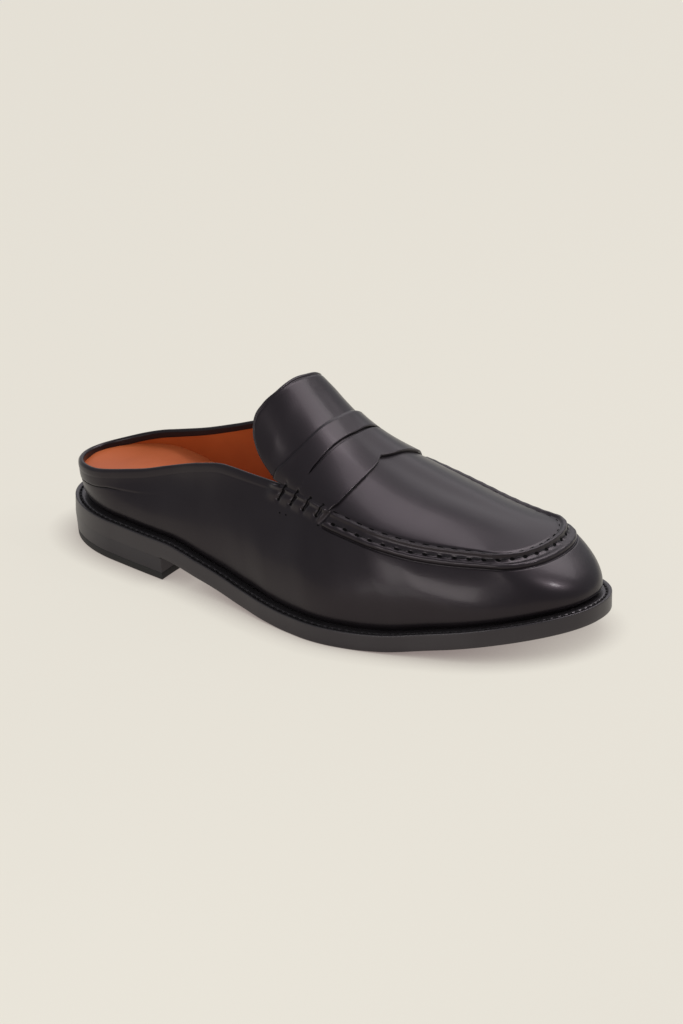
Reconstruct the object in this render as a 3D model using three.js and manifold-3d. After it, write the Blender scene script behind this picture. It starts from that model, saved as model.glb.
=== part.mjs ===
// Penny-strap mule, right foot: a flat leather shoe with a low closed rim round the heel.
// Millimetres. X runs from the heel to the toe, +Y is the inner (medial) side, +Z is up.
// The floor is z = 0 and the origin is the middle of the shoe's box on the floor.
import * as THREE from "three";
import { mergeVertices } from "three/addons/utils/BufferGeometryUtils.js";
import Module from "manifold-3d";

// Driving dimensions.
const soleLength = 272;
const outsoleThick = 5;
const weltThick = 2.9;
const weltWidth = 9;
const ledge = 4.8; // the welt stands this far outside the upper
const heelHeight = 10.7; // block and top lift together, up to the seat of the outsole
const topLiftThick = 3.5;
const heelTaper = 1.2; // the block narrows this much down to the floor
const breastX = 71.5; // front of the heel
const breastHollow = 1.5; // the heel's front is hollowed by this much at its middle
const wall = 2; // leather and lining of the upper together
const tongueThick = 2.4;
const strapThick = 2.2;
const gap = 0.3; // clearance between neighbouring pieces
const strapGap = 0.4; // the strap lies this far over apron and tongue
const sideGap = 0.7; // clearance along the tongue's steep sides
const throatX = 131; // corner where the rim meets the tongue
const slitWidth = 1.4;
const slitReach = 0.84; // the slit's half length, as a share of the strap's half width
const slitX = 147; // middle of the slit
const slitBow = 2.2; // its middle lies this much nearer the toe than its ends
const seatX = 72; // the heel seat is flat up to here

// Swell of the side wall: how far it stands out, where, and how the shoulder is drawn in.
const bellyOut = 1.5;
const bellyLean = 0.1; // more swell where the wall leans in, per millimetre of lean
const bellyHeight = 0.42; // as a share of the wall's height
const shoulderRise = 0.3;
const shoulderLean = 0.15;

// Behind the throat the tongue's sides close in and climb, per millimetre of run.
const tongueClose = 0.12;
const tongueClimb = 0.3;

// End rounding of the sole, the rim and the apron: how far in from the end it reaches.
const soleHeelRound = 39;
const soleToeRound = 47;
const rimBackX = 3.1;
const rimHeelRound = 30;
const apronTipX = 246;
const apronToeRound = 14;
const toePower = 2.2;

// Mesh density.
const sideSteps = 44; // stations from the heel's back to the toe, on each side
const skirtSteps = 7; // rows up the side of the upper
const plugStation = 25; // the apron ends at this station, under the strap, and the tongue begins
const crossSteps = 14; // columns across apron, tongue and strap
const strapSteps = 6; // rows along the strap's width
const tongueSteps = 9;
const footbedSteps = 4;
const dishShares = [0.82, 0.5]; // rings inside the footbed's rim
const weldDistance = 1e-4;

const named = (columns, values) => Object.fromEntries(columns.map((name, i) => [name, values[i]]));
const table = (columns, rows) => rows.map((values) => named(columns, values));

// Plan of the sole before its ends are rounded: centre line and half width.
const soleTable = table(["x", "centre", "half"], [
  [0, 8.3, 30.3],
  [30, 3.9, 31],
  [60, -1.4, 32.3],
  [90, -6, 33.5],
  [105, -7.7, 34.4],
  [120, -9.2, 36.7],
  [135, -10.2, 40.3],
  [150, -10.1, 44.1],
  [162, -9.7, 46.9],
  [174, -8.4, 48.3],
  [186, -6.2, 48.5],
  [198, -3.8, 48],
  [212, -0.9, 46.4],
  [228, 1.6, 44],
  [245, 4, 40.7],
  [260, 6.5, 37.4],
  [272, 8.5, 34.6],
]);

// Height of the outsole's underside: heel seat, arch, flat tread, toe spring.
const underTable = table(["x", "z"], [
  [0, heelHeight],
  [seatX, heelHeight],
  [95, 7.2],
  [125, 2],
  [150, 0],
  [182, 0],
  [195, 0.6],
  [220, 4.3],
  [245, 8.5],
  [272, 12.3],
]);

// Top line of the upper's side wall: the rim behind the throat, the apron seam in front.
// slope is the wall's angle at its top, in degrees from level.
const topTable = table(["x", "centre", "half", "zLateral", "zMedial", "slope"], [
  [3.1, 5.5, 24, 34, 34.2, 93],
  [12, 4.5, 24, 34.8, 36.6, 91],
  [22, 4.3, 24, 36, 39.5, 90],
  [30, 4.2, 24.2, 37.7, 41.6, 90],
  [40, 4.2, 25.1, 40.2, 43.8, 89],
  [52, 4.1, 25.7, 43.3, 46.8, 88],
  [68, 3.7, 26.4, 48.8, 52, 86],
  [84, 2.8, 27.9, 54.1, 57.4, 84],
  [100, 2.2, 29.4, 57.4, 60.5, 80],
  [116, 1.9, 30.8, 56.9, 60.5, 74],
  [131, 1.6, 31.9, 56.4, 59.5, 67],
  [150, 0.6, 35.2, 55, 56.6, 60],
  [165, 0, 37.5, 52.7, 53.6, 52],
  [180, 0.2, 37.8, 49.8, 50.2, 45],
  [195, 1.6, 36.2, 46.8, 46.9, 41],
  [206, 3.2, 33.8, 45, 44.8, 40],
  [218, 4.7, 30.8, 44.1, 43.5, 40],
  [229, 5.9, 27.9, 43.8, 43.1, 40],
  [236, 6.5, 26.4, 43.7, 43.1, 40],
  [246, 7.4, 24.5, 43.4, 43.2, 40],
]);

// Height of the middle of the apron and tongue.
const crestTable = table(["x", "z"], [
  [108, 107],
  [122, 94.2],
  [130, 86.5],
  [140, 78],
  [150, 71.5],
  [162, 65.8],
  [175, 61],
  [190, 56.4],
  [205, 52.6],
  [220, 49.3],
  [235, 46.1],
  [246, 43.3],
]);

// Free edge of the tongue: x for each share w of its half width, outer side negative.
const tongueEdge = table(["w", "x"], [
  [-1, 131],
  [-0.97, 121.5],
  [-0.9, 115.4],
  [-0.78, 116],
  [-0.5, 118.4],
  [0, 120.3],
  [0.5, 119.6],
  [0.78, 117],
  [0.9, 116.4],
  [0.97, 121.5],
  [1, 131],
]);

// Back and front edges of the strap, with the notch at the middle of the front.
const strapEdges = table(["w", "back", "front"], [
  [-1, 129.6, 161.5],
  [-0.88, 134, 164.2],
  [-0.6, 136.6, 165.5],
  [-0.22, 138, 166],
  [0.02, 138.3, 162.5],
  [0.24, 138, 165.9],
  [0.6, 136.8, 165.2],
  [0.88, 134, 163.8],
  [1, 129.6, 161.5],
]);

// Rim of the footbed on each side, and how far its middle is dished below that.
const footbedTable = table(["x", "zLateral", "zMedial", "dish"], [
  [0, 31.4, 31.6, 2.2],
  [12, 32, 33.8, 2.8],
  [22, 33, 35, 3],
  [35, 33.8, 36.2, 3],
  [49, 33.4, 34.9, 3],
  [62, 31.4, 32.2, 2.8],
  [100, 25, 25.4, 2],
  [130, 18.8, 19, 1.2],
  [165, 13.7, 13.7, 0.6],
  [200, 13.4, 13.4, 0.4],
  [240, 19.5, 19.5, 0.3],
  [272, 24.5, 24.5, 0.2],
]);

// Smooth curve through one column of a table, without overshoot between rows.
function curve(rows, key, at, by = "x") {
  const last = rows.length - 1;
  if (at <= rows[0][by]) return rows[0][key];
  if (at >= rows[last][by]) return rows[last][key];
  const slopeOf = (i) => (rows[i + 1][key] - rows[i][key]) / (rows[i + 1][by] - rows[i][by]);
  const tangentAt = (i) => {
    if (i === 0) return slopeOf(0);
    if (i === last) return slopeOf(last - 1);
    const before = slopeOf(i - 1);
    const after = slopeOf(i);
    if (before * after <= 0) return 0;
    const h0 = rows[i][by] - rows[i - 1][by];
    const h1 = rows[i + 1][by] - rows[i][by];
    const w0 = 2 * h1 + h0;
    const w1 = h1 + 2 * h0;
    return (w0 + w1) / (w0 / before + w1 / after);
  };
  let i = 0;
  while (rows[i + 1][by] < at) i += 1;
  const h = rows[i + 1][by] - rows[i][by];
  const s = (at - rows[i][by]) / h;
  const rise = s * s * (3 - 2 * s);
  return rows[i][key] * (1 - rise) + rows[i + 1][key] * rise
    + h * (s * (1 - s) * (1 - s) * tangentAt(i) - s * s * (1 - s) * tangentAt(i + 1));
}

const clamp = THREE.MathUtils.clamp;
const heelRounding = (depth, reach) => Math.sqrt(1 - clamp(1 - depth / reach, 0, 1) ** 2);
const toeRounding = (depth, reach) => (1 - clamp(1 - depth / reach, 0, 1) ** toePower) ** (1 / toePower);
const underside = (x) => curve(underTable, "z", x);
const weltTop = (x) => underside(x) + outsoleThick + weltThick;

// side is -1 on the outer half and +1 on the inner half; t runs from heel (0) to toe (1).
const along = (start, end, t) => start + (end - start) * (1 - Math.cos(Math.PI * t)) / 2;
const plugBackX = along(rimBackX, apronTipX, plugStation / sideSteps);

function soleEdge(side, t) {
  const x = along(0, soleLength, t);
  const round = heelRounding(x, soleHeelRound) * toeRounding(soleLength - x, soleToeRound);
  return new THREE.Vector2(x, curve(soleTable, "centre", x) + side * curve(soleTable, "half", x) * round);
}

function soleOutward(side, t) {
  const step = 1e-3;
  const before = t - step < 0 ? soleEdge(-side, step - t) : soleEdge(side, t - step);
  const after = t + step > 1 ? soleEdge(-side, 2 - t - step) : soleEdge(side, t + step);
  const run = after.sub(before).normalize();
  return new THREE.Vector2(-run.y * side, run.x * side);
}

function insetEdge(side, t, inset) {
  return soleEdge(side, t).addScaledVector(soleOutward(side, t), -inset);
}

function topLine(side, x) {
  const round = heelRounding(x - rimBackX, rimHeelRound) * toeRounding(apronTipX - x, apronToeRound);
  const y = curve(topTable, "centre", x) + side * curve(topTable, "half", x) * round;
  // both sides share one height at the heel's back and at the apron's tip
  const own = curve(topTable, side < 0 ? "zLateral" : "zMedial", x);
  const other = curve(topTable, side < 0 ? "zMedial" : "zLateral", x);
  return new THREE.Vector3(x, y, (own * (1 + round) + other * (1 - round)) / 2);
}

// One rib of the side wall: from the feather edge on the welt up to the top line.
function ribPoint(side, t, v) {
  const foot = insetEdge(side, t, ledge);
  const out = soleOutward(side, t);
  const low = new THREE.Vector3(foot.x, foot.y, weltTop(foot.x) + gap);
  const high = topLine(side, along(rimBackX, apronTipX, t));
  const slope = THREE.MathUtils.degToRad(curve(topTable, "slope", high.x));
  const rise = high.z - low.z;
  const reach = Math.hypot(high.x - low.x, high.y - low.y);
  const outward = new THREE.Vector3(out.x, out.y, 0);
  const belly = low.clone().addScaledVector(outward, bellyOut + bellyLean * reach);
  belly.z += bellyHeight * rise;
  const pull = shoulderRise * rise + shoulderLean * reach;
  const shoulder = high.clone().addScaledVector(outward, Math.cos(slope) * pull);
  shoulder.z -= Math.sin(slope) * pull;
  return new THREE.CubicBezierCurve3(low, belly, shoulder, high).getPoint(v);
}

// Apron, tongue and strap share one crowned surface: an arch over the foot at each x.
function archEnd(side, x) {
  if (x >= throatX) return topLine(side, x);
  const corner = topLine(side, throatX);
  const back = throatX - x;
  return new THREE.Vector3(x, corner.y - side * tongueClose * back, corner.z + tongueClimb * back);
}

function archPoint(x, w) {
  const outer = archEnd(-1, x);
  const inner = archEnd(1, x);
  const half = (inner.y - outer.y) / 2;
  const share = (w + 1) / 2;
  const chord = outer.z * (1 - share) + inner.z * share;
  const rise = curve(crestTable, "z", x) - (outer.z + inner.z) / 2;
  const tall = clamp(rise / Math.max(half, 1), 0, 1);
  const bend = (1 - tall) * (1 - w * w) + tall * Math.sqrt(Math.max(1 - w * w, 0));
  return new THREE.Vector3(x, outer.y + 2 * half * share, chord + rise * bend);
}

function archNormal(x, w) {
  const step = 0.02;
  const side = clamp(w, -0.97, 0.97);
  const acrossRun = archPoint(x, side + step).sub(archPoint(x, side - step));
  const alongRun = archPoint(x + 1, side).sub(archPoint(x - 1, side));
  return alongRun.cross(acrossRun).normalize();
}

const offsetArch = (x, w, lift) => archPoint(x, w).addScaledVector(archNormal(x, w), lift);
const spread = (q) => Math.sin(q * Math.PI / 2);

// Collects points and faces of one closed body.
class Body {
  constructor() {
    this.points = [];
    this.faces = [];
  }

  add(point) {
    this.points.push(point);
    return this.points.length - 1;
  }

  quad(a, b, c, d) {
    this.faces.push([a, b, c], [a, c, d]);
  }

  geometry() {
    const geometry = new THREE.BufferGeometry();
    const position = new Float32Array(this.points.flatMap((point) => point.toArray()));
    geometry.setAttribute("position", new THREE.BufferAttribute(position, 3));
    const used = this.faces.filter(([a, b, c]) => a !== b && b !== c && c !== a);
    geometry.setIndex(used.flat());
    return mergeVertices(geometry, weldDistance);
  }
}

// Stations right round the shoe: heel's back, outer side, toe, inner side.
const ringSize = 2 * sideSteps;
const station = (i) => {
  const k = ((i % ringSize) + ringSize) % ringSize;
  return k <= sideSteps ? { side: -1, t: k / sideSteps } : { side: 1, t: (ringSize - k) / sideSteps };
};
const ring = (place) => Array.from({ length: ringSize }, (_, i) => {
  const { side, t } = station(i);
  return place(side, t);
});
const edgeRing = (inset, height) => ring((side, t) => {
  const edge = insetEdge(side, t, inset);
  return new THREE.Vector3(edge.x, edge.y, height(edge.x));
});

// A stack of rings from the bottom up, with both ends closed by strips across the shoe.
function stackRings(rings) {
  const body = new Body();
  const index = rings.map((points) => points.map((point) => body.add(point)));
  for (let level = 0; level < rings.length - 1; level += 1) {
    for (let i = 0; i < ringSize; i += 1) {
      const next = (i + 1) % ringSize;
      body.quad(index[level][i], index[level][next], index[level + 1][next], index[level + 1][i]);
    }
  }
  const closeAcross = (loop, upwards) => {
    for (let i = 0; i < sideSteps; i += 1) {
      const far = ringSize - i;
      const strip = [loop[i], loop[i + 1], loop[far - 1], loop[far % ringSize]];
      body.quad(...(upwards ? strip : strip.reverse()));
    }
  };
  closeAcross(index[0], false);
  closeAcross(index[rings.length - 1], true);
  return body.geometry();
}

function outsole() {
  const top = (x) => underside(x) + outsoleThick;
  return stackRings([edgeRing(0, underside), edgeRing(0, top)]);
}

// The welt is a flat ring of leather on the outsole's rim.
function welt() {
  const body = new Body();
  const low = (x) => underside(x) + outsoleThick + gap;
  const loops = [
    edgeRing(weltWidth, low),
    edgeRing(0, low),
    edgeRing(0, weltTop),
    edgeRing(weltWidth, weltTop),
  ].map((points) => points.map((point) => body.add(point)));
  loops.forEach((loop, k) => {
    const above = loops[(k + 1) % loops.length];
    for (let i = 0; i < ringSize; i += 1) {
      const next = (i + 1) % ringSize;
      body.quad(loop[i], loop[next], above[next], above[i]);
    }
  });
  return body.geometry();
}

// Heel pieces follow the sole's outline back from a breast that is hollow in plan.
function heelSlice(low, high) {
  const stepsAlong = 14;
  const stepsAcross = 10;
  const reachOf = (side) => {
    let t = 0;
    while (soleEdge(side, t).x < breastX) t += 1e-4;
    return t;
  };
  const loopAt = (z) => {
    const inset = heelTaper * (1 - z / heelHeight);
    const edge = (side, k) => {
      const point = insetEdge(side, reachOf(side) * k / stepsAlong, inset);
      return new THREE.Vector3(point.x, point.y, z);
    };
    const outerSide = Array.from({ length: stepsAlong + 1 }, (_, k) => edge(-1, k));
    const innerSide = Array.from({ length: stepsAlong }, (_, k) => edge(1, stepsAlong - k));
    const from = outerSide[stepsAlong];
    const to = innerSide[0];
    const breast = Array.from({ length: stepsAcross - 1 }, (_, k) => {
      const w = (k + 1) / stepsAcross;
      const point = from.clone().lerp(to, w);
      point.x -= breastHollow * 4 * w * (1 - w);
      return point;
    });
    return [...outerSide, ...breast, ...innerSide];
  };
  const body = new Body();
  const bottom = loopAt(low).map((point) => body.add(point));
  const top = loopAt(high).map((point) => body.add(point));
  bottom.forEach((_, i) => {
    const next = (i + 1) % bottom.length;
    body.quad(bottom[i], bottom[next], top[next], top[i]);
  });
  const outline = loopAt(low).map((point) => new THREE.Vector2(point.x, point.y));
  THREE.ShapeUtils.triangulateShape(outline, []).forEach(([a, b, c]) => {
    body.faces.push([bottom[c], bottom[b], bottom[a]], [top[a], top[b], top[c]]);
  });
  return body.geometry();
}

// The upper: side wall and apron as one shell, open at collar and throat and underneath.
function upper() {
  const body = new Body();
  const skin = [];
  for (let v = 0; v <= skirtSteps; v += 1) {
    skin.push(ring((side, t) => ribPoint(side, t, v / skirtSteps)));
  }
  const outer = skin.map((points) => points.map((point) => body.add(point)));
  const rim = outer[skirtSteps];
  const apron = [];
  for (let i = plugStation; i < sideSteps; i += 1) {
    const x = along(rimBackX, apronTipX, i / sideSteps);
    const middle = Array.from({ length: crossSteps - 1 }, (_, k) => {
      const w = spread(2 * (k + 1) / crossSteps - 1);
      return body.add(archPoint(x, w));
    });
    apron.push([rim[i], ...middle, rim[ringSize - i]]);
  }
  const tip = rim[sideSteps];
  const faces = [];
  for (let v = 0; v < skirtSteps; v += 1) {
    for (let i = 0; i < ringSize; i += 1) {
      const next = (i + 1) % ringSize;
      faces.push([outer[v][i], outer[v][next], outer[v + 1][next], outer[v + 1][i]]);
    }
  }
  for (let r = 0; r < apron.length - 1; r += 1) {
    for (let k = 0; k < crossSteps; k += 1) {
      faces.push([apron[r][k], apron[r + 1][k], apron[r + 1][k + 1], apron[r][k + 1]]);
    }
  }
  const front = apron[apron.length - 1];
  for (let k = 0; k < crossSteps; k += 1) faces.push([front[k], tip, front[k + 1]]);

  const normals = body.points.map(() => new THREE.Vector3());
  for (const face of faces) {
    const [a, b, c] = face.map((i) => body.points[i]);
    const normal = b.clone().sub(a).cross(c.clone().sub(a)).normalize();
    face.forEach((i) => normals[i].add(normal));
  }
  const outerCount = body.points.length;
  const feather = new Set(outer[0]);
  for (let i = 0; i < outerCount; i += 1) {
    const normal = normals[i];
    if (feather.has(i)) normal.z = 0;
    body.add(body.points[i].clone().addScaledVector(normal.normalize(), -wall));
  }
  const inside = (i) => i + outerCount;
  for (const face of faces) {
    const back = face.map(inside).reverse();
    if (face.length === 3) body.faces.push(face, back);
    else {
      body.quad(...face);
      body.quad(...back);
    }
  }
  const closeEdge = (loop) => {
    for (let i = 0; i < loop.length; i += 1) {
      const a = loop[i];
      const b = loop[(i + 1) % loop.length];
      body.quad(b, a, inside(a), inside(b));
    }
  };
  closeEdge(outer[0]);
  const collar = [];
  for (let i = -plugStation; i <= plugStation; i += 1) collar.push(rim[(i + ringSize) % ringSize]);
  closeEdge([...collar, ...apron[0].slice(1, -1)].reverse());
  return body.geometry();
}

// A patch of the arched surface, with its own thickness, between two lifts.
function archPatch(backOf, frontOf, rows, reach, low, high) {
  const body = new Body();
  const layer = (lift) => Array.from({ length: rows + 1 }, (_, r) =>
    Array.from({ length: crossSteps + 1 }, (_, k) => {
      const w = spread(2 * k / crossSteps - 1);
      const x = THREE.MathUtils.lerp(backOf(w), frontOf(w), r / rows);
      return body.add(offsetArch(x, w * reach(x), lift));
    }));
  const bottom = layer(low);
  const top = layer(high);
  for (let r = 0; r < rows; r += 1) {
    for (let k = 0; k < crossSteps; k += 1) {
      body.quad(top[r][k], top[r + 1][k], top[r + 1][k + 1], top[r][k + 1]);
      body.quad(bottom[r][k + 1], bottom[r + 1][k + 1], bottom[r + 1][k], bottom[r][k]);
    }
    body.quad(bottom[r][0], bottom[r + 1][0], top[r + 1][0], top[r][0]);
    body.quad(bottom[r + 1][crossSteps], bottom[r][crossSteps], top[r][crossSteps], top[r + 1][crossSteps]);
  }
  for (let k = 0; k < crossSteps; k += 1) {
    body.quad(bottom[0][k + 1], bottom[0][k], top[0][k], top[0][k + 1]);
    body.quad(bottom[rows][k], bottom[rows][k + 1], top[rows][k + 1], top[rows][k]);
  }
  return body.geometry();
}

function insetShare(x, inset) {
  const half = (archEnd(1, x).y - archEnd(-1, x).y) / 2;
  return 1 - inset / half;
}

function tongue() {
  const backOf = (w) => curve(tongueEdge, "x", w, "w");
  const frontOf = () => plugBackX - 2 * gap;
  const reach = (x) => insetShare(x, sideGap);
  return archPatch(backOf, frontOf, tongueSteps, reach, -tongueThick, 0);
}

const wasm = await Module();
wasm.setup();

function solid(geometry) {
  return new wasm.Manifold(new wasm.Mesh({
    numProp: 3,
    vertProperties: new Float32Array(geometry.attributes.position.array),
    triVerts: new Uint32Array(geometry.index.array),
  }));
}

function geometryOf(manifold) {
  const mesh = manifold.getMesh();
  const geometry = new THREE.BufferGeometry();
  geometry.setAttribute("position", new THREE.BufferAttribute(new Float32Array(mesh.vertProperties), 3));
  geometry.setIndex(Array.from(mesh.triVerts));
  return geometry;
}

// The saddle strap lies over apron and tongue and has a bowed slit right through it.
function strap() {
  const backOf = (w) => curve(strapEdges, "back", w, "w");
  const frontOf = (w) => curve(strapEdges, "front", w, "w");
  const reach = (x) => insetShare(x, gap);
  const band = archPatch(backOf, frontOf, strapSteps, reach, strapGap, strapGap + strapThick);
  const middle = (w) => slitX - slitBow * w * w;
  const cutter = archPatch(
    (w) => middle(w) - slitWidth / 2,
    (w) => middle(w) + slitWidth / 2,
    1,
    () => slitReach,
    -1,
    strapThick + 2,
  );
  return geometryOf(solid(band).subtract(solid(cutter)));
}

// The footbed fills the heel cup and thins towards the toe, a little clear of the lining.
function footbed() {
  const seat = (x) => weltTop(x) + gap;
  const core = (x) => underside(x) + outsoleThick + gap;
  const inner = ledge + wall + gap;
  const halvings = 30;
  const edgeAt = (side, t, z) => {
    let low = 0;
    let high = 1;
    for (let k = 0; k < halvings; k += 1) {
      const v = (low + high) / 2;
      if (ribPoint(side, t, v).z < z) low = v;
      else high = v;
    }
    const point = ribPoint(side, t, low);
    const out = soleOutward(side, t);
    point.x -= out.x * (wall + 2 * gap);
    point.y -= out.y * (wall + 2 * gap);
    return point.setZ(z);
  };
  const topAt = (side, x) => curve(footbedTable, side < 0 ? "zLateral" : "zMedial", x);
  const levels = [];
  for (let k = 1; k <= footbedSteps; k += 1) {
    levels.push(ring((side, t) => {
      const base = insetEdge(side, t, inner);
      const z = THREE.MathUtils.lerp(seat(base.x), topAt(side, base.x), k / footbedSteps);
      return edgeAt(side, t, z);
    }));
  }
  const edge = levels[footbedSteps - 1];
  const dish = dishShares.map((share) => edge.map((point, i) => {
    const across = edge[(ringSize - i) % ringSize];
    const middle = point.clone().add(across).multiplyScalar(0.5);
    const inwards = middle.clone().lerp(point, share);
    const depth = curve(footbedTable, "dish", point.x) * (1 - share * share);
    return inwards.setZ(inwards.z - depth);
  }));
  return stackRings([
    edgeRing(weltWidth + gap, core),
    edgeRing(weltWidth + gap, seat),
    edgeRing(inner, seat),
    ...levels,
    ...dish,
  ]);
}

const leather = { color: 0x1c1a1c, roughness: 0.38, metalness: 0 };
const finishes = {
  outsole: { color: 0x161416, roughness: 0.5, metalness: 0 },
  welt: { color: 0x1a181a, roughness: 0.5, metalness: 0 },
  heel: { color: 0x161416, roughness: 0.45, metalness: 0 },
  top_lift: { color: 0x101010, roughness: 0.8, metalness: 0 },
  insole: { color: 0xb0622f, roughness: 0.6, metalness: 0 },
  upper: leather,
  tongue: leather,
  strap: leather,
};

const pieces = {
  outsole: outsole(),
  welt: welt(),
  heel: heelSlice(topLiftThick + gap, heelHeight - gap),
  top_lift: heelSlice(0, topLiftThick),
  insole: footbed(),
  upper: upper(),
  tongue: tongue(),
  strap: strap(),
};

const shoe = new THREE.Group();
for (const [name, geometry] of Object.entries(pieces)) {
  const mesh = new THREE.Mesh(geometry, new THREE.MeshStandardMaterial(finishes[name]));
  mesh.name = name;
  shoe.add(mesh);
}

const box = new THREE.Box3().setFromObject(shoe);
shoe.position.set(-(box.min.x + box.max.x) / 2, -(box.min.y + box.max.y) / 2, 0);

export default shoe;
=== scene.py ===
# Penny-strap mule, right shoe: fine leather, seams, stitches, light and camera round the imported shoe.
import bmesh
import bpy
import numpy as np
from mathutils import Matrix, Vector


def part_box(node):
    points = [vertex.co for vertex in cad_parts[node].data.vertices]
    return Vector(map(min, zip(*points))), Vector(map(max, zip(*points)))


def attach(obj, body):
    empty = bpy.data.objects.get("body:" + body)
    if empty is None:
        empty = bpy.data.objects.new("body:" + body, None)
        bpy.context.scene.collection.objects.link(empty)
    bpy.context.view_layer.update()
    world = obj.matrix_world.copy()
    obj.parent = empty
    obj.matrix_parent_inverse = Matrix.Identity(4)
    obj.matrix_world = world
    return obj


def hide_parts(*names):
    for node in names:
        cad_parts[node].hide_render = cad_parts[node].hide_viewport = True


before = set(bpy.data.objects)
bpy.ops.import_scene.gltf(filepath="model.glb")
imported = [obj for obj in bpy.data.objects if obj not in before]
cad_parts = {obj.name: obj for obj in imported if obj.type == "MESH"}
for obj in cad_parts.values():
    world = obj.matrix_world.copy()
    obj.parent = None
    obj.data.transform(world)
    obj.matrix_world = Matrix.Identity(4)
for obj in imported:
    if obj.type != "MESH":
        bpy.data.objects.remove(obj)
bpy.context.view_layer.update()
print("frame loaded")

# sizes of the last and sole in millimetres, x from the heel's back, y to the inner side
last = {
    "soleLength": 272.0, "outsoleThick": 5.0, "weltThick": 2.9, "ledge": 4.8, "heelHeight": 10.7,
    "topLiftThick": 3.5, "heelTaper": 1.2, "breastX": 71.5, "breastHollow": 1.5, "throatX": 131.0,
    "clearance": 0.3, "soleHeelRound": 39.0, "soleToeRound": 47.0, "rimBackX": 3.1, "rimHeelRound": 30.0,
    "apronTipX": 246.0, "apronToeRound": 14.0, "toePower": 2.2, "bellyOut": 1.5, "bellyLean": 0.1,
    "bellyHeight": 0.42, "shoulderRise": 0.3, "shoulderLean": 0.15, "throatClose": 0.12, "throatClimb": 0.3,
}


def smoothCurve(rows, column=1):
    xs, ys = np.array(rows, float)[:, [0, column]].T
    step = np.diff(xs)
    slope = np.diff(ys) / step
    tangent = np.zeros(len(xs))
    tangent[0], tangent[-1] = slope[0], slope[-1]
    for i in range(1, len(xs) - 1):
        if slope[i - 1] * slope[i] > 0:
            before, after = 2 * step[i] + step[i - 1], step[i] + 2 * step[i - 1]
            tangent[i] = (before + after) / (before / slope[i - 1] + after / slope[i])

    def at(x):
        x = np.clip(np.asarray(x, float), xs[0], xs[-1])
        i = np.clip(np.searchsorted(xs, x) - 1, 0, len(xs) - 2)
        h = step[i]
        s = (x - xs[i]) / h
        rise = s * s * (3 - 2 * s)
        bend = s * (1 - s) ** 2 * tangent[i] - s * s * (1 - s) * tangent[i + 1]
        return ys[i] * (1 - rise) + ys[i + 1] * rise + h * bend

    return at


def runAlong(path):
    return np.concatenate([[0], np.cumsum(np.linalg.norm(np.diff(path, axis=0), axis=1))])


def placeAt(run, runs, points):
    return np.stack([np.interp(run, runs, column) for column in points.T], -1)


# x, centre, half width
soleRows = [
    (0, 8.3, 30.3), (30, 3.9, 31), (60, -1.4, 32.3), (90, -6, 33.5), (105, -7.7, 34.4),
    (120, -9.2, 36.7), (135, -10.2, 40.3), (150, -10.1, 44.1), (162, -9.7, 46.9),
    (174, -8.4, 48.3), (186, -6.2, 48.5), (198, -3.8, 48), (212, -0.9, 46.4),
    (228, 1.6, 44), (245, 4, 40.7), (260, 6.5, 37.4), (272, 8.5, 34.6),
]
# x, height of the underside
underRows = [
    (0, 10.7), (72, 10.7), (95, 7.2), (125, 2), (150, 0), (182, 0), (195, 0.6),
    (220, 4.3), (245, 8.5), (272, 12.3),
]
# x, centre, half width, height outside, height inside, angle at the top in degrees
topRows = [
    (3.1, 5.5, 24, 34, 34.2, 93), (12, 4.5, 24, 34.8, 36.6, 91), (22, 4.3, 24, 36, 39.5, 90),
    (30, 4.2, 24.2, 37.7, 41.6, 90), (40, 4.2, 25.1, 40.2, 43.8, 89),
    (52, 4.1, 25.7, 43.3, 46.8, 88), (68, 3.7, 26.4, 48.8, 52, 86),
    (84, 2.8, 27.9, 54.1, 57.4, 84), (100, 2.2, 29.4, 57.4, 60.5, 80),
    (116, 1.9, 30.8, 56.9, 60.5, 74), (131, 1.6, 31.9, 56.4, 59.5, 67),
    (150, 0.6, 35.2, 55, 56.6, 60), (165, 0, 37.5, 52.7, 53.6, 52),
    (180, 0.2, 37.8, 49.8, 50.2, 45), (195, 1.6, 36.2, 46.8, 46.9, 41),
    (206, 3.2, 33.8, 45, 44.8, 40), (218, 4.7, 30.8, 44.1, 43.5, 40),
    (229, 5.9, 27.9, 43.8, 43.1, 40), (236, 6.5, 26.4, 43.7, 43.1, 40),
    (246, 7.4, 24.5, 43.4, 43.2, 40),
]
# x, height of the middle of apron and tongue
crestRows = [
    (108, 107), (122, 94.2), (130, 86.5), (140, 78), (150, 71.5), (162, 65.8), (175, 61),
    (190, 56.4), (205, 52.6), (220, 49.3), (235, 46.1), (246, 43.3),
]

soleCentre, soleHalf = smoothCurve(soleRows, 1), smoothCurve(soleRows, 2)
underside = smoothCurve(underRows)
topCentre, topHalf, topOuterZ, topInnerZ, topSlope = (smoothCurve(topRows, k) for k in range(1, 6))
crest = smoothCurve(crestRows)


def weltTop(x):
    return underside(x) + last["outsoleThick"] + last["weltThick"]


def endRound(depth, reach, power):
    return (1 - np.clip(1 - depth / reach, 0, 1) ** power) ** (1 / power)


def spaced(start, end, t):
    return start + (end - start) * (1 - np.cos(np.pi * t)) / 2


# around runs 0..1 up the outer side, 1..2 back down the inner side
def sideAndT(around):
    around = np.mod(around, 2.0)
    return np.where(around <= 1, -1.0, 1.0), np.where(around <= 1, around, 2 - around)


def soleEdge(around):
    side, t = sideAndT(around)
    x = spaced(0, last["soleLength"], t)
    heelEnd = endRound(x, last["soleHeelRound"], 2)
    toeEnd = endRound(last["soleLength"] - x, last["soleToeRound"], last["toePower"])
    return np.stack([x, soleCentre(x) + side * soleHalf(x) * heelEnd * toeEnd], -1)


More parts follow.
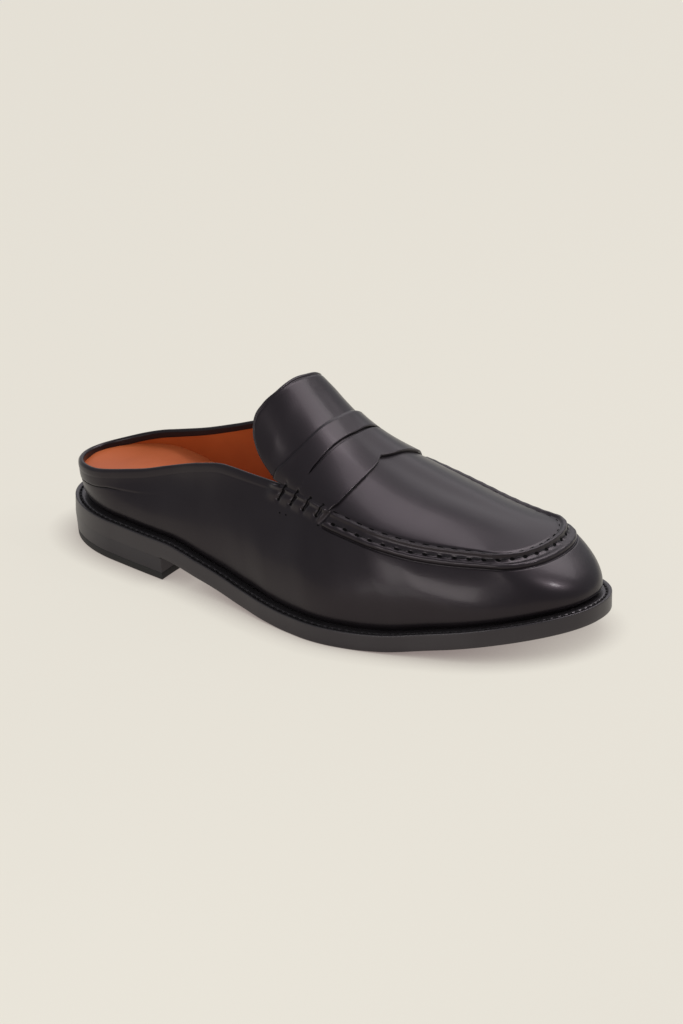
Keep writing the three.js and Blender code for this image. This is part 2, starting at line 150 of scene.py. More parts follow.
def soleOutward(around):
    run = soleEdge(around + 1e-3) - soleEdge(around - 1e-3)
    run /= np.linalg.norm(run, axis=-1, keepdims=True)
    return np.stack([run[..., 1], -run[..., 0]], -1)


def insetEdge(around, inset):
    return soleEdge(around) - soleOutward(around) * np.asarray(inset)[..., None]


def topLineAt(side, x):
    heelEnd = endRound(x - last["rimBackX"], last["rimHeelRound"], 2)
    toeEnd = endRound(last["apronTipX"] - x, last["apronToeRound"], last["toePower"])
    ends = heelEnd * toeEnd
    y = topCentre(x) + side * topHalf(x) * ends
    own = np.where(side < 0, topOuterZ(x), topInnerZ(x))
    other = np.where(side < 0, topInnerZ(x), topOuterZ(x))
    return np.stack([x + 0 * y, y, (own * (1 + ends) + other * (1 - ends)) / 2], -1)


def topLine(around):
    side, t = sideAndT(around)
    return topLineAt(side, spaced(last["rimBackX"], last["apronTipX"], t))


# around and v broadcast together; v runs from the feather edge to the top line
def wallPoint(around, v):
    around, v = np.broadcast_arrays(np.asarray(around, float), np.asarray(v, float))
    foot, out = insetEdge(around, last["ledge"]), soleOutward(around)
    low = np.concatenate([foot, (weltTop(foot[..., 0]) + last["clearance"])[..., None]], -1)
    high = topLine(around)
    slope = np.radians(topSlope(high[..., 0]))
    rise = high[..., 2] - low[..., 2]
    reach = np.hypot(high[..., 0] - low[..., 0], high[..., 1] - low[..., 1])
    outward = np.concatenate([out, 0 * rise[..., None]], -1)
    belly = low + outward * (last["bellyOut"] + last["bellyLean"] * reach)[..., None]
    belly[..., 2] += last["bellyHeight"] * rise
    pull = last["shoulderRise"] * rise + last["shoulderLean"] * reach
    shoulder = high + outward * (np.cos(slope) * pull)[..., None]
    shoulder[..., 2] -= np.sin(slope) * pull
    a, b = (1 - v)[..., None], v[..., None]
    return a ** 3 * low + 3 * a * a * b * belly + 3 * a * b * b * shoulder + b ** 3 * high


def archEnd(side, x):
    x = np.asarray(x, float)
    back = np.clip(last["throatX"] - x, 0, None)
    end = topLineAt(side, np.maximum(x, last["throatX"]))
    y = end[..., 1] - side * last["throatClose"] * back
    return np.stack([x, y, end[..., 2] + last["throatClimb"] * back], -1)

# long soft hollows and ridges the leather takes over the instep: middle, width, height
instepFolds = [(0.17, 0.17, -0.5), (-0.34, 0.2, 0.3), (0.55, 0.2, 0.2)]
foldReach = {"start": 116, "fadeIn": 14, "end": 236, "fadeOut": 40}


def archFold(x, w):
    held = np.clip((x - foldReach["start"]) / foldReach["fadeIn"], 0, 1)
    held = held * np.clip((foldReach["end"] - x) / foldReach["fadeOut"], 0, 1)
    return held * sum(high * np.exp(-((w - at) / wide) ** 2) for at, wide, high in instepFolds)


def archPoint(x, w):
    x, w = np.broadcast_arrays(np.asarray(x, float), np.asarray(w, float))
    outer, inner = archEnd(-1.0, x), archEnd(1.0, x)
    half = (inner[..., 1] - outer[..., 1]) / 2
    share = (w + 1) / 2
    chord = outer[..., 2] * (1 - share) + inner[..., 2] * share
    rise = crest(x) - (outer[..., 2] + inner[..., 2]) / 2
    tall = np.clip(rise / np.maximum(half, 1), 0, 1)
    bend = (1 - tall) * (1 - w * w) + tall * np.sqrt(np.clip(1 - w * w, 0, None))
    return np.stack([x, outer[..., 1] + 2 * half * share, chord + rise * bend + archFold(x, w)], -1)


def archNormal(x, w):
    w = np.clip(w, -0.97, 0.97)
    across = archPoint(x, w + 0.02) - archPoint(x, w - 0.02)
    onward = archPoint(np.asarray(x) + 1.0, w) - archPoint(np.asarray(x) - 1.0, w)
    n = np.cross(onward, across)
    return n / np.linalg.norm(n, axis=-1, keepdims=True)


def middleOf(values):
    return (values.min() + values.max()) / 2


outlineAll = soleEdge(np.linspace(0, 2, 1441))
seatLow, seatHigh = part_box("outsole")
shoeShift = np.array([
    500 * (seatLow.x + seatHigh.x) - middleOf(outlineAll[:, 0]),
    500 * (seatLow.y + seatHigh.y) - middleOf(outlineAll[:, 1]),
    0.0,
])
print("shoe placed at", shoeShift.round(2))


def unit(vectors):
    return vectors / np.maximum(np.linalg.norm(vectors, axis=-1, keepdims=True), 1e-9)


def soft(value, start, end):
    s = np.clip((np.asarray(value, float) - start) / (end - start), 0, 1)
    return s * s * (3 - 2 * s)


def bump(value, at, wide, power=2):
    return np.exp(-np.abs((np.asarray(value, float) - at) / wide) ** power)


def gridFaces(index, closed=False):
    rows = index if not closed else np.concatenate([index, index[:1]])
    quads = np.stack([rows[:-1, :-1], rows[1:, :-1], rows[1:, 1:], rows[:-1, 1:]], -1)
    return quads.reshape(-1, 4)


def gridSheet(points, closed=False):
    index = np.arange(points.shape[0] * points.shape[1]).reshape(points.shape[:2])
    return points.reshape(-1, 3), gridFaces(index, closed)


def pointNormals(points, quads):
    a, b, c, d = (points[quads[:, k]] for k in range(4))
    cross = np.cross(c - a, d - b)
    normals = np.zeros_like(points)
    for k in range(4):
        np.add.at(normals, quads[:, k], cross)
    return unit(normals)


def addPiece(name, points, faces, finish, slot, stands=(), weld=False):
    mesh = bpy.data.meshes.new(name)
    kept = [tuple(dict.fromkeys(int(i) for i in face)) for face in faces]
    mesh.from_pydata(((np.asarray(points) + shoeShift) / 1000).tolist(), [], [f for f in kept if len(f) > 2])
    mesh.materials.append(finish)
    if weld:
        work = bmesh.new()
        work.from_mesh(mesh)
        bmesh.ops.remove_doubles(work, verts=work.verts, dist=2e-6)
        bmesh.ops.dissolve_degenerate(work, edges=work.edges, dist=1e-7)
        bmesh.ops.recalc_face_normals(work, faces=work.faces)
        work.to_mesh(mesh)
        work.free()
    mesh.polygons.foreach_set("use_smooth", [True] * len(mesh.polygons))
    mesh.update()
    piece = bpy.data.objects.new(name, mesh)
    bpy.context.scene.collection.objects.link(piece)
    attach(piece, "root")
    if stands:
        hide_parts(*stands)
    return piece


# finishes

def newFinish(name):
    material = bpy.data.materials.new(name)
    material.use_nodes = True
    tree = material.node_tree
    return material, tree.nodes, tree.links, tree.nodes["Principled BSDF"]


def addNode(nodes, kind, values):
    node = nodes.new(kind)
    for socket, value in values.items():
        node.inputs[socket].default_value = value
    return node


# how deep, in metres, the pores, the grain and the waves of a finish go
finishDepths = {"pores": 0.00005, "grain": 0.0001, "waves": 0.0006}
dullLook = {"coat": 0.0, "coatRough": 0.3, "glossTint": (1.0, 1.0, 1.0)}


def leatherFinish(name, look):
    look = {**dullLook, **look}
    material, nodes, links, shader = newFinish(name)
    where = nodes.new("ShaderNodeTexCoord")
    cloud = addNode(nodes, "ShaderNodeTexNoise", {"Scale": look["cloudScale"], "Detail": 4})
    grain = addNode(nodes, "ShaderNodeTexVoronoi", {"Scale": look["grainScale"]})
    pores = addNode(nodes, "ShaderNodeTexNoise", {"Scale": look["grainScale"] * 3.1, "Detail": 3})
    waves = addNode(nodes, "ShaderNodeTexNoise", {"Scale": look["waveScale"], "Detail": 2})
    for texture in (cloud, grain, pores, waves):
        links.new(where.outputs["Object"], texture.inputs["Vector"])
    tint = nodes.new("ShaderNodeValToRGB")
    for end, position, colour in ((0, 0.3, look["dark"]), (1, 0.72, look["light"])):
        tint.color_ramp.elements[end].position = position
        tint.color_ramp.elements[end].color = (*colour, 1)
    links.new(cloud.outputs["Fac"], tint.inputs["Fac"])
    links.new(tint.outputs["Color"], shader.inputs["Base Color"])
    polish = addNode(nodes, "ShaderNodeMapRange", {"To Min": look["roughLow"], "To Max": look["roughHigh"]})
    links.new(cloud.outputs["Fac"], polish.inputs["Value"])
    links.new(polish.outputs["Result"], shader.inputs["Roughness"])
    relief = None
    for height, strength, depth in (
        (waves.outputs["Fac"], look["waveStrength"], finishDepths["waves"]),
        (grain.outputs["Distance"], look["grainStrength"], finishDepths["grain"]),
        (pores.outputs["Fac"], look["grainStrength"] * 0.5, finishDepths["pores"]),
    ):
        layer = addNode(nodes, "ShaderNodeBump", {"Strength": strength, "Distance": depth})
        links.new(height, layer.inputs["Height"])
        if relief:
            links.new(relief, layer.inputs["Normal"])
        relief = layer.outputs["Normal"]
    links.new(relief, shader.inputs["Normal"])
    shader.inputs["Specular IOR Level"].default_value = look["shine"]
    shader.inputs["Coat Weight"].default_value = look["coat"]
    shader.inputs["Coat Roughness"].default_value = look["coatRough"]
    shader.inputs["Specular Tint"].default_value = (*look["glossTint"], 1)
    return material


calf = leatherFinish("black_calf", {
    "dark": (0.0062, 0.0050, 0.0062), "light": (0.0092, 0.0078, 0.0092), "cloudScale": 45,
    "grainScale": 1500, "grainStrength": 0.10, "roughLow": 0.29, "roughHigh": 0.37,
    "waveScale": 55, "waveStrength": 0.10, "shine": 0.29, "coat": 0.08, "coatRough": 0.12,
    "glossTint": (1.0, 0.83, 0.93),
})
paintLook = {"grainScale": 2600, "grainStrength": 0.05, "roughLow": 0.33, "roughHigh": 0.42}
edgePaint = leatherFinish("edge_paint", {
    **paintLook, "dark": (0.012, 0.0105, 0.012), "light": (0.017, 0.0155, 0.017), "cloudScale": 70,
    "waveScale": 90, "waveStrength": 0.05, "shine": 0.5, "glossTint": (1.0, 0.91, 0.98),
})
# a darker copy of the edge paint for the heel stack: painted shade on the heel
heelPaintShaded = leatherFinish("heel_paint_painted_shade", {
    **paintLook, "dark": (0.008, 0.0072, 0.009), "light": (0.012, 0.0112, 0.0135), "cloudScale": 60,
    "waveScale": 60, "waveStrength": 0.07, "shine": 0.42, "glossTint": (0.98, 0.90, 1.0),
})
tread = leatherFinish("tread_leather", {
    "dark": (0.014, 0.012, 0.011), "light": (0.024, 0.021, 0.019), "cloudScale": 60,
    "grainScale": 1900, "grainStrength": 0.2, "roughLow": 0.55, "roughHigh": 0.7,
    "waveScale": 70, "waveStrength": 0.08, "shine": 0.35,
})
rubber = leatherFinish("top_lift_rubber", {
    "dark": (0.009, 0.0085, 0.009), "light": (0.014, 0.0132, 0.014), "cloudScale": 90,
    "grainScale": 2400, "grainStrength": 0.18, "roughLow": 0.5, "roughHigh": 0.65,
    "waveScale": 90, "waveStrength": 0.04, "shine": 0.32,
})
# the lining's cognac is a darker, more saturated copy of the footbed's: painted shade inside the quarters
# and under the tongue
shadedCognac = leatherFinish("cognac_lining_painted_shade", {
    "dark": (0.33, 0.055, 0.010), "light": (0.40, 0.074, 0.015), "cloudScale": 50,
    "grainScale": 1700, "grainStrength": 0.16, "roughLow": 0.5, "roughHigh": 0.62,
    "waveScale": 60, "waveStrength": 0.08, "shine": 0.18,
})
footbedLeather = leatherFinish("cognac_footbed", {
    "dark": (0.41, 0.092, 0.026), "light": (0.48, 0.116, 0.036), "cloudScale": 38,
    "grainScale": 1700, "grainStrength": 0.16, "roughLow": 0.48, "roughHigh": 0.6,
    "waveScale": 50, "waveStrength": 0.1, "shine": 0.25,
})
fibreLook = {
    "cloudScale": 300, "grainScale": 2600, "grainStrength": 0.3, "waveScale": 900, "waveStrength": 0.3,
}
waxedThread = leatherFinish("waxed_thread", {
    **fibreLook, "dark": (0.0035, 0.003, 0.0035), "light": (0.007, 0.006, 0.007),
    "roughLow": 0.5, "roughHigh": 0.62, "shine": 0.25, "glossTint": (1.0, 0.95, 1.0),
})
# near-black matte finish for black thread, and for painted shade: dark ovals in the awl holes and a dark
# line in the counter's groove
threadAndShadeBlack = leatherFinish("black_thread_and_painted_shade", {
    **fibreLook, "dark": (0.0015, 0.0013, 0.0015), "light": (0.0025, 0.0022, 0.0025),
    "roughLow": 0.8, "roughHigh": 0.95, "shine": 0.08,
})
print("finishes made")


# the lasted skin: stations round the shoe, rows from the feather edge up the wall and over the apron

skinSizes = {
    "stationsPerSide": 481, "evenedAt": 0.15, "joinX": 132.0, "wall": 2.0, "sink": 0.7, "tuckHeight": 3.2,
    "tuckDepth": 1.7, "spineHold": 196.0, "spineRun": 26.0, "seamReach": 9.6, "leastPlain": 0.6,
}
tuckRows = np.array([0, 0.5, 1.0, 1.6, 2.3, 3.2, 4.5])
fineRows = np.concatenate([np.arange(0, 9.61, 0.32), np.arange(10.2, 15.61, 0.6)])
middleRows = 9
apronEdgeRows = np.array([0.32, 0.64, 0.96, 1.3, 1.8, 2.5, 3.5, 5.0, 7.0, 9.5])
apronRows = 13


def stationSpots():
    t = np.linspace(0, 1, 4001)
    run = runAlong((wallPoint(t, np.full_like(t, skinSizes["evenedAt"])) + topLine(t)) / 2)
    return np.interp(np.linspace(0, run[-1], skinSizes["stationsPerSide"]), run, t)


def rowPlaces(around):
    # distance below the top line of every wall row, and the curve parameter that gives it
    v = np.linspace(0, 1, 121)
    path = wallPoint(around[:, None], v[None])
    steps = np.cumsum(np.linalg.norm(np.diff(path, axis=1), axis=2), axis=1)
    run = np.concatenate([np.zeros((len(around), 1)), steps], axis=1)
    below, where, reach = [], [], skinSizes["seamReach"]
    for k in range(len(around)):
        length = run[k, -1]
        deep = min(fineRows[-1], length - tuckRows[-1] - skinSizes["leastPlain"])
        drawnIn = reach + (fineRows - reach) * (deep - reach) / (fineRows[-1] - reach)
        fine = np.where(fineRows <= reach, fineRows, drawnIn)
        plain = np.linspace(tuckRows[-1], length - fine[-1], middleRows + 2)[1:-1]
        height = np.concatenate([tuckRows, plain, (length - fine)[::-1]])
        below.append(length - height)
        where.append(np.interp(height, run[k], v))
    return np.array(below), np.array(where), run[:, -1]


def apronLine(side, x):
    # points from the apron's edge to its spine at set distances, fanned round the toe
    hold, reach = skinSizes["spineHold"], skinSizes["spineRun"]
    spineX = x if x < hold else hold + reach * (1 - np.exp((hold - x) / reach))
    edge = topLineAt(side, x)
    spineY = (archEnd(-1.0, spineX)[1] + archEnd(1.0, spineX)[1]) / 2
    q = np.linspace(0, 1, 90)
    xs = edge[0] + (spineX - edge[0]) * q
    ys = edge[1] + (spineY - edge[1]) * q
    low, high = archEnd(-1.0, xs)[:, 1], archEnd(1.0, xs)[:, 1]
    w = np.clip((ys - (low + high) / 2) / np.maximum((high - low) / 2, 1e-3), -1, 1)
    w[0] = side
    path = archPoint(xs, w)
    path[0] = edge
    run = runAlong(path)
    rest = np.linspace(apronEdgeRows[-1], run[-1], apronRows + 1)[1:]
    inside = np.concatenate([apronEdgeRows, rest])
    return inside, placeAt(inside, run, path)


spots = stationSpots()
perSide = len(spots)
around = np.concatenate([spots, (2 - spots[1:-1])[::-1]])
stationCount = len(around)
below, wallV, wallLength = rowPlaces(around)
wallGrid = wallPoint(around[:, None], wallV)
heightUp = wallLength[:, None] - below
tuck = skinSizes["tuckDepth"] * np.clip(1 - heightUp / skinSizes["tuckHeight"], 0, 1) ** 2
wallGrid[..., :2] -= soleOutward(around)[:, None] * tuck[..., None]
wallGrid[:, 0, 2] -= skinSizes["sink"]
wallRows = wallGrid.shape[1]
stationX = topLine(around)[:, 0]
joinStation = int(np.argmax(spots >= np.interp(skinSizes["joinX"], topLine(spots)[:, 0], spots)))
frontStations = np.arange(joinStation, stationCount - joinStation + 1)

skinPoints = [wallGrid.reshape(-1, 3)]
skinIndex = np.full((stationCount, wallRows + len(apronEdgeRows) + apronRows), -1)
skinBelow = np.full(skinIndex.shape, np.nan)
skinIndex[:, :wallRows] = np.arange(stationCount * wallRows).reshape(stationCount, wallRows)
skinBelow[:, :wallRows] = below
nextPoint = stationCount * wallRows
for k in frontStations:
    inner = k >= perSide
    inside, line = apronLine(1.0 if inner else -1.0, float(stationX[k]))
    skinBelow[k, wallRows:] = -inside
    count = len(line) - inner
    skinPoints.append(line[:count])
    skinIndex[k, wallRows:wallRows + count] = np.arange(nextPoint, nextPoint + count)
    nextPoint += count
    if inner:
        # the two sides share the points on the spine
        skinIndex[k, -1] = skinIndex[stationCount - k, -1]
skinPoints = np.concatenate(skinPoints)
wallQuads = gridFaces(skinIndex[:, :wallRows], closed=True)
apronQuads = gridFaces(skinIndex[frontStations, wallRows - 1:])
skinQuads = np.concatenate([wallQuads, apronQuads])
skinNormals = pointNormals(skinPoints, skinQuads)
print("skin laid out:", stationCount, "stations,", len(skinPoints), "points")


# raised seams, rim bead and creases, as heights above the plain skin

seamLook = {
    "startX": 161.5, "pitch": 6.3, "opens": (0.4, 2.4),
    "innerHigh": 1.15, "innerAt": 0.5, "innerWide": 0.85, "innerPucker": 0.08,
    "outerHigh": 1.0, "outerAt": 6.1, "outerWide": 1.4, "outerPower": 2.4, "outerPucker": 0.14,
    "troughDeep": 0.12, "troughAt": 2.7, "troughWide": 1.7, "troughPucker": 0.6,
    "lineDeep": 1.1, "lineAt": 8.0, "lineWide": 0.45,
    "gutterDeep": 0.42, "gutterAt": -1.05, "gutterWide": 0.5,
    "holeDeep": 0.55, "holeWide": 0.75, "holeLong": 1.15,
    "farFade": (-8, 26), "farHigh": 0.35, "farWide": 0.4, "farGutter": 0.9,
}
collarLook = {
    "fade": (124.0, 127.0), "beadHigh": 0.16, "beadAt": 1.4, "beadWide": 1.3, "beadPower": 3,
    "grooveDeep": 0.07, "grooveAt": 2.9, "grooveWide": 0.4, "rollWall": 2.2, "rollFrom": 0.35,
}
heelLook = {
    "proud": 0.26, "step": (-0.5, 0.5), "lineDeep": 0.3, "lineWide": 0.36, "fade": (18, 80),
    "shadeEnd": 44.0, "shadeRadius": 0.24, "shadeSide": 0.1, "shadeHigh": 0.06, "shadeSinks": 0.26,
}
endLook = {
    "topX": [135.3, 142.7, 150.4, 158.0], "lowX": [132.2, 139.6, 147.2, 154.8],
    "lowerHoleAt": [5.4, 5.2, 4.9, 4.6], "lowerHoleDeep": 0.6, "lowerHoleLong": 0.8, "lowerHoleWide": 0.7,
    "opens": (124.5, 131.0), "backLean": 0.3, "closes": (-1.2, 0.6), "overRim": (-2.5, -0.5),
    "ridgeHigh": 1.0, "bandHigh": 1.1, "band": (3.2, 8.6),
    "pinch": 0.85, "pinchWide": 1.15, "pinchLean": 6, "pinchFrom": (-0.2, 1.2), "ridgePinch": 0.5,
    "frontLean": 0.6, "leanDepth": 8, "frontDeep": 0.6, "frontAt": 0.3, "frontWide": 0.9,
    "frontTop": (-0.2, 0.8), "frontFoot": (7.8, 8.6),
}
# station x, millimetres below the top line, side, length along the fold, width, depth
creases = [
    (172, 19, -1, 12, 7, 0.16), (188, 22, -1, 12, 9, 0.14), (150, 21, -1, 14, 9, 0.12),
    (172, 19, 1, 12, 7, 0.18), (188, 22, 1, 12, 9, 0.14),
    (64, 22, -1, 14, 10, 0.14), (64, 22, 1, 14, 10, 0.14),
]
creaseLook = {"lean": 0.35, "endPower": 2.5}
# x, millimetres below the top line
holeBelow = smoothCurve([
    (160, 4.4), (192, 4.4), (200, 4.1), (212, 3.6), (224, 3.3), (233, 2.7), (241, 2.3), (246, 2.5),
])
heelLineBelow = smoothCurve([
    (3, 7.6), (10, 7.6), (17, 7.0), (30, 7.0), (38, 8.0), (50, 9.7), (63, 11.5), (80, 14.1), (100, 17.5),
])

stationRun = runAlong(topLine(around))
outerStart = np.interp(seamLook["startX"], stationX[:perSide], stationRun[:perSide])
innerStart = np.interp(-seamLook["startX"], -stationX[perSide:], stationRun[perSide:])
holeCount = int(round((innerStart - outerStart) / seamLook["pitch"]))
holePitch = (innerStart - outerStart) / holeCount
holeRun = outerStart + holePitch * (np.arange(holeCount) + 0.5)


def farShare(run):
    # the rolled seam is fuller on the inner side than on the outer side
    return soft(run - stationRun[perSide - 1], *seamLook["farFade"])


def gutterBelow(run):
    return seamLook["gutterAt"] - farShare(run) * seamLook["farGutter"]


def seamHeight(below, x, run):
    look = seamLook
    phase = (run - outerStart) / holePitch
    slack = 0.5 - 0.5 * np.cos(2 * np.pi * phase)
    toHole = (phase - 0.5 - np.round(phase - 0.5)) * holePitch
    far = farShare(run)
    inner = bump(below, look["innerAt"], look["innerWide"] + far * look["farWide"])
    outer = bump(below, look["outerAt"], look["outerWide"], look["outerPower"])
    hole = bump(below, holeBelow(x), look["holeWide"]) * bump(toHole, 0, look["holeLong"])
    trough = bump(below, look["troughAt"], look["troughWide"])
    return (
        (look["innerHigh"] + far * look["farHigh"]) * (1 - look["innerPucker"] * slack) * inner
        + look["outerHigh"] * (1 - look["outerPucker"] * slack) * outer
        - look["troughDeep"] * (1 - look["troughPucker"] * (1 - slack)) * trough
        - look["lineDeep"] * bump(below, look["lineAt"], look["lineWide"])
        - look["gutterDeep"] * bump(below, gutterBelow(run), look["gutterWide"])
        - look["holeDeep"] * hole
    )


def strapEndHeight(below, x):
    # each pinch leans from its upper hole to its lower one
    look = endLook
    lean = np.clip(below / look["pinchLean"], 0, 1)
    pinch, lowHoles = 0.0, 0.0
    for topX, lowX, lowBelow in zip(look["topX"], look["lowX"], look["lowerHoleAt"]):
        pinch = np.maximum(pinch, bump(x, topX + (lowX - topX) * lean, look["pinchWide"]))
        hole = bump(x, lowX, look["lowerHoleLong"]) * bump(below, lowBelow, look["lowerHoleWide"])
        lowHoles = np.maximum(lowHoles, hole)
    ridge = (1 - look["ridgePinch"] * pinch) * bump(below, seamLook["innerAt"], seamLook["innerWide"])
    pinched = 1 - look["pinch"] * pinch * soft(below, *look["pinchFrom"])
    band = (1 - soft(below, *look["band"])) * pinched
    return look["ridgeHigh"] * ridge + look["bandHigh"] * band - look["lowerHoleDeep"] * lowHoles


def skinHeight(below, x, run, side):
    pastStart = x + endLook["frontLean"] * np.clip(below, 0, endLook["leanDepth"]) - seamLook["startX"]
    end = soft(x + endLook["backLean"] * below, *endLook["opens"])
    end = end * (1 - soft(pastStart, *endLook["closes"])) * soft(below, *endLook["overRim"])
    frontLine = bump(pastStart, endLook["frontAt"], endLook["frontWide"])
    frontLine = frontLine * soft(below, *endLook["frontTop"]) * (1 - soft(below, *endLook["frontFoot"]))
    bead = bump(below, collarLook["beadAt"], collarLook["beadWide"], collarLook["beadPower"])
    groove = bump(below, collarLook["grooveAt"], collarLook["grooveWide"])
    rim = collarLook["beadHigh"] * bead - collarLook["grooveDeep"] * groove
    heelAt = heelLineBelow(x)
    heel = (1 - soft(x, *heelLook["fade"])) * (
        heelLook["proud"] * (1 - soft(below - heelAt, *heelLook["step"]))
        - heelLook["lineDeep"] * bump(below, heelAt, heelLook["lineWide"])
    )
    folds = sum(
        -deep * bump(x - creaseLook["lean"] * (below - down), at, wide)
        * bump(below, down, long, creaseLook["endPower"]) * (side == way)
        for at, down, way, long, wide, deep in creases
    )
    return (
        soft(pastStart, *seamLook["opens"]) * seamHeight(below, x, run) + end * strapEndHeight(below, x)
        - endLook["frontDeep"] * frontLine + (1 - soft(x, *collarLook["fade"])) * rim + heel + folds
    )


pointBelow = np.zeros(len(skinPoints))
pointStation = np.zeros(len(skinPoints), int)
for k in range(stationCount):
    valid = skinIndex[k] >= 0
    pointBelow[skinIndex[k][valid]] = skinBelow[k][valid]
    pointStation[skinIndex[k][valid]] = k
pointX, pointRun = stationX[pointStation], stationRun[pointStation]
pointSide = np.where(pointStation < perSide, -1, 1)
skinRise = skinHeight(pointBelow, pointX, pointRun, pointSide)
leatherPoints = skinPoints + skinNormals * skinRise[:, None]


# the leather rolls over the rim and turns in over the lining's top
rollRadius = collarLook["rollWall"] / 2
rollTurns = np.linspace(collarLook["rollFrom"], np.pi, 10)
# rows below the rim, depth behind the skin
turnIns = [(1, 2.2), (3, 2.2), (5, 2.2), (7, 2.2), (8, 1.9), (8, 1.2)]
collarStations = np.concatenate([
    np.arange(stationCount - joinStation, stationCount), np.arange(joinStation + 1),
])
topRow = wallRows - 1
rimSpots = skinIndex[collarStations, topRow]
rimUp = unit(skinPoints[rimSpots] - skinPoints[skinIndex[collarStations, topRow - 3]])
roll = [
    skinPoints[rimSpots] + skinNormals[rimSpots] * (rollRadius * np.cos(turn) - rollRadius)
    + rimUp * rollRadius * np.sin(turn)
    for turn in rollTurns
]
for rows, deep in turnIns:
    turned = skinIndex[collarStations, topRow - rows]
    roll.append(skinPoints[turned] - skinNormals[turned] * deep)
roll = np.stack(roll, 1)
rollIndex = len(leatherPoints) + np.arange(roll.shape[0] * roll.shape[1]).reshape(roll.shape[:2])
rollIndex = np.concatenate([rimSpots[:, None], rollIndex], axis=1)
upperPiece = addPiece(
    "upper_leather", np.concatenate([leatherPoints, roll.reshape(-1, 3)]),
    np.concatenate([skinQuads, gridFaces(rollIndex)]), calf, "upper_leather", ("upper",),
)
print("upper made:", len(upperPiece.data.polygons), "faces")

# the lining keeps fewer of the skin's rows, closer together near the rim
nearRim = wallRows - 41
pickWall = np.unique(np.concatenate([
    [3, 6], np.arange(7, nearRim, 2), np.arange(nearRim, wallRows, 4), [topRow],
]))
lastColumn = skinIndex.shape[1] - 1
pickApron = np.unique(np.concatenate([[topRow], np.arange(wallRows, lastColumn + 1, 3), [lastColumn]]))
liningQuads = np.concatenate([
    gridFaces(skinIndex[:, pickWall], closed=True), gridFaces(skinIndex[frontStations][:, pickApron]),
])
usedPoints, liningFaces = np.unique(liningQuads, return_inverse=True)
liningPiece = addPiece(
    "quarter_lining", (skinPoints - skinNormals * skinSizes["wall"])[usedPoints],
    liningFaces.reshape(-1, 4)[:, ::-1], shadedCognac, "footbed_leather", ("upper",),
)
print("lining made:", len(liningPiece.data.polygons), "faces")


# saddle strap, tongue: sheets over the arch with rounded edges

# share across the arch, x of the edge
tongueRows = [
    (-1, 126), (-0.99, 121), (-0.97, 117), (-0.93, 114.3), (-0.86, 113.3), (-0.71, 115.2),
    (-0.47, 118.2), (-0.13, 119.9), (0.2, 120.7), (0.5, 119.9), (0.73, 117.2), (0.86, 114.6),
    (0.93, 115), (0.97, 117.5), (1, 126),
]
strapBackRows = [
    (-1, 127.4), (-0.91, 131.7), (-0.8, 134.2), (-0.6, 136.5), (-0.22, 138), (0.02, 138.3),
    (0.24, 138), (0.6, 136.6), (0.8, 134.4), (0.91, 131.9), (1, 127.4),
]
strapFrontRows = [
    (-1, 161.7), (-0.9, 164.1), (-0.74, 164.9), (-0.58, 165.6), (-0.4, 165.9), (-0.22, 165.4),
    (-0.08, 164.4), (0.07, 162), (0.19, 162.9), (0.3, 163.6), (0.46, 163.8), (0.65, 163.5),
    (0.85, 163), (1, 161.7),
]
tongueBack, strapBack = smoothCurve(tongueRows), smoothCurve(strapBackRows)
sheetStep = 0.6


def archShares(x, spacing):
    # shares of the half width at the wanted distances from the arch's two ends
    w = np.linspace(-1, 1, 801)
    run = runAlong(archPoint(np.full_like(w, x), w))
    edge = np.array(spacing)
    count = int((run[-1] - 2 * edge[-1]) / sheetStep)
    middle = np.linspace(edge[-1], run[-1] - edge[-1], count + 2)[1:-1]
    wanted = np.concatenate([edge, middle, (run[-1] - edge)[::-1]])
    return np.interp(wanted, run, w), np.minimum(wanted, run[-1] - wanted)


def walledSheet(xs, w, gap, lift, foot):
    # a sheet over the arch, with a wall all round down to its other face
    xs, w = np.pad(xs, 1, mode="edge"), np.pad(w, 1, mode="edge")
    lift = np.pad(lift, 1, constant_values=foot)
    w = w * (1 - gap / ((archEnd(1.0, xs)[..., 1] - archEnd(-1.0, xs)[..., 1]) / 2))
    return gridSheet(archPoint(xs, w) + archNormal(xs, w) * lift[..., None])


def roundedDrop(distance, radius):
    inside = np.clip(radius - distance, 0, radius)
    return radius - np.sqrt(np.maximum(radius ** 2 - inside ** 2, 0))


def acrossRows(values, rows):
    return np.repeat(values[:, None], rows.shape[1], 1)


strapLook = {
    "low": 0.2, "high": 1.5, "endHigh": 0.85, "endRun": (0.3, 6.0), "edge": 0.5, "sideGap": 0.05,
    "skive": (-0.6, 1.3), "slitX": 147.6, "slitBow": 3.8, "slitReach": 0.84, "slitHalf": 0.52,
}
# marks of each thread on the strap: depth, distance inside the edge, width, length
threadMarks = [(0.7, 1.1, 0.55, 0.6), (0.2, 0.2, 1.3, 1.1)]
fineEdge = np.array([0, 0.04, 0.12, 0.25, 0.42, 0.62, 0.9])
strapW, strapInside = archShares(150.0, [0, 0.05, 0.14, 0.3, 0.5, 0.8, 1.15, 1.5, 1.9, 2.4, 3.0, 3.8, 4.8])
slitHalf = strapLook["slitHalf"] * np.sqrt(np.clip(1 - (np.abs(strapW) / strapLook["slitReach"]) ** 8, 0, 1))
slitMiddle = strapLook["slitX"] - strapLook["slitBow"] * strapW ** 2


def strapRise(side):
    # the strap thins towards its ends
    low, high = strapLook["endHigh"], strapLook["high"]
    return low + (high - low) * soft(side, *strapLook["endRun"])


